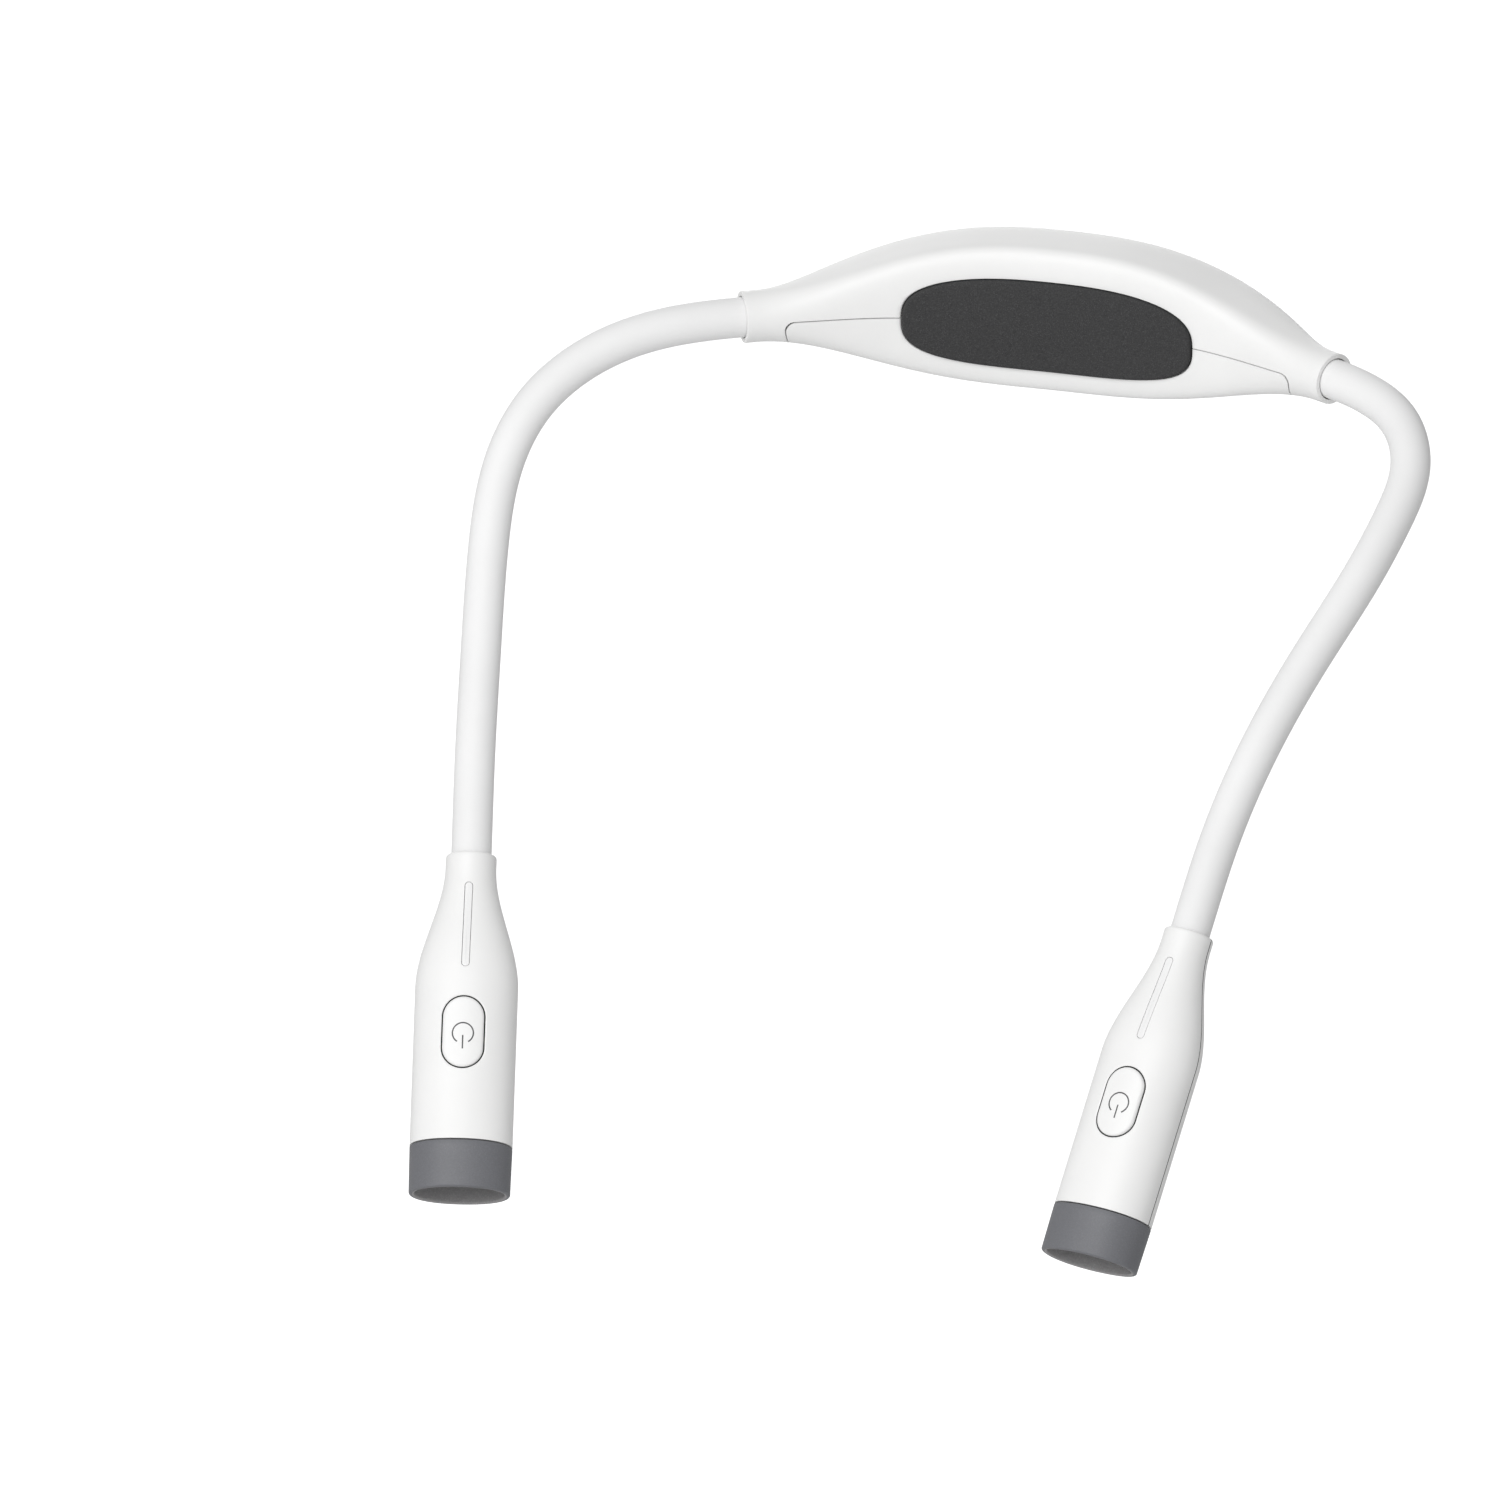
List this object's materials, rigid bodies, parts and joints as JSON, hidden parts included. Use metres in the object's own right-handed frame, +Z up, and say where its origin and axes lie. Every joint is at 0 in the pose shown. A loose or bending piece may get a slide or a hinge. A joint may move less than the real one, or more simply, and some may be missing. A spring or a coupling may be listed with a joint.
{
  "type": "neck reading light",
  "caption": "Neck-worn reading light: a padded unit that arches round the nape, with bendable arms that end in slim lamp heads with push buttons and light hoods.",
  "frame": {"origin": "middle of the neck pad's face, where it meets the nape", "axes": "+Z up as worn, -Y forward (the way the wearer looks), +X to the wearer's left, which is the right of the picture"},
  "size_m": [0.2221, 0.1973, 0.1917],
  "materials": {
    "white_shell": "satin moulded",
    "white_button": "satin moulded",
    "white_sleeve": "matte silicone",
    "charcoal_pad": "matte, fine grain",
    "grey_hood": "fine matte",
    "clear_lens": "frosted",
    "indicator_white": "translucent",
    "circuit_board": "solder mask",
    "battery_foil": "foil pouch",
    "steel": "bright",
    "black_switch": "matte"
  },
  "bodies": {
    "unit": {"upper_shell": "white_shell", "lower_cover": "white_shell", "neck_pad": "charcoal_pad", "battery": "battery_foil", "charging_board": "circuit_board", "usb_c_receptacle": "steel", "left_cover_screw": "steel", "left_arm_anchor": "steel", "left_sleeve_1": "white_sleeve", "left_core_1": "steel", "right_cover_screw": "steel", "right_arm_anchor": "steel", "right_sleeve_1": "white_sleeve", "right_core_1": "steel"},
    "left_link_2": {"left_sleeve_2": "white_sleeve", "left_core_2": "steel"},
    "left_link_3": {"left_sleeve_3": "white_sleeve", "left_core_3": "steel"},
    "left_link_4": {"left_sleeve_4": "white_sleeve", "left_core_4": "steel"},
    "left_link_5": {"left_sleeve_5": "white_sleeve", "left_core_5": "steel"},
    "left_head": {"left_sleeve_6": "white_sleeve", "left_core_6": "steel", "left_front_shell": "white_shell", "left_back_shell": "white_shell", "left_indicator_bar": "indicator_white", "left_hood": "grey_hood", "left_lens": "clear_lens", "left_light_board": "circuit_board", "left_control_board": "circuit_board", "left_tact_switch": "black_switch", "left_arm_clamp": "steel"},
    "left_button": {"left_power_button": "white_button"},
    "right_link_2": {"right_sleeve_2": "white_sleeve", "right_core_2": "steel"},
    "right_link_3": {"right_sleeve_3": "white_sleeve", "right_core_3": "steel"},
    "right_link_4": {"right_sleeve_4": "white_sleeve", "right_core_4": "steel"},
    "right_link_5": {"right_sleeve_5": "white_sleeve", "right_core_5": "steel"},
    "right_head": {"right_sleeve_6": "white_sleeve", "right_core_6": "steel", "right_front_shell": "white_shell", "right_back_shell": "white_shell", "right_indicator_bar": "indicator_white", "right_hood": "grey_hood", "right_lens": "clear_lens", "right_light_board": "circuit_board", "right_control_board": "circuit_board", "right_tact_switch": "black_switch", "right_arm_clamp": "steel"},
    "right_button": {"right_power_button": "white_button"}
  },
  "joints": [
    {"name": "left_bend_1", "type": "hinge", "parent": "unit", "child": "left_link_2", "pos_m": [-0.08468, -0.01868, -0.0011], "axis": [-0.3771, 0.7848, -0.4918], "range_deg": [-35, 35]},
    {"name": "left_bend_2", "type": "hinge", "parent": "left_link_2", "child": "left_link_3", "pos_m": [-0.10931, -0.03613, -0.01164], "axis": [-0.7971, 0.2456, 0.5516], "range_deg": [-35, 35]},
    {"name": "left_bend_3", "type": "hinge", "parent": "left_link_3", "child": "left_link_4", "pos_m": [-0.1181, -0.05471, -0.03592], "axis": [0.0034, -0.8406, 0.5416], "range_deg": [-35, 35]},
    {"name": "left_bend_4", "type": "hinge", "parent": "left_link_4", "child": "left_link_5", "pos_m": [-0.11633, -0.07184, -0.06336], "axis": [0.9967, 0.0329, 0.0739], "range_deg": [-35, 35]},
    {"name": "left_bend_5", "type": "hinge", "parent": "left_link_5", "child": "left_head", "pos_m": [-0.11339, -0.08925, -0.09052], "axis": [0.0181, 0.8352, -0.5497], "range_deg": [-35, 35]},
    {"name": "left_button_press", "type": "slide", "parent": "left_head", "child": "left_button", "axis": [-0.162, 0.782, -0.6018], "range_m": [0, 0.0005], "stiffness_N_per_m": 2000, "springref_m": -0.0003},
    {"name": "right_bend_1", "type": "hinge", "parent": "unit", "child": "right_link_2", "pos_m": [0.08438, -0.01902, -0.002], "axis": [-0.379, -0.7327, 0.5653], "range_deg": [-35, 35]},
    {"name": "right_bend_2", "type": "hinge", "parent": "right_link_2", "child": "right_link_3", "pos_m": [0.09399, -0.04349, -0.01746], "axis": [-0.9851, 0.0699, 0.1569], "range_deg": [-35, 35]},
    {"name": "right_bend_3", "type": "hinge", "parent": "right_link_3", "child": "right_link_4", "pos_m": [0.08538, -0.0683, -0.03632], "axis": [-0.1482, 0.6861, -0.7122], "range_deg": [-35, 35]},
    {"name": "right_bend_4", "type": "hinge", "parent": "right_link_4", "child": "right_link_5", "pos_m": [0.07459, -0.08971, -0.05807], "axis": [0.9523, -0.1242, -0.2789], "range_deg": [-35, 35]},
    {"name": "right_bend_5", "type": "hinge", "parent": "right_link_5", "child": "right_head", "pos_m": [0.06741, -0.10994, -0.08229], "axis": [0.0402, -0.7796, 0.625], "range_deg": [-35, 35]},
    {"name": "right_button_press", "type": "slide", "parent": "right_head", "child": "right_button", "axis": [0.1825, 0.7721, -0.6088], "range_m": [0, 0.0005], "stiffness_N_per_m": 2000, "springref_m": -0.0003}
  ]
}
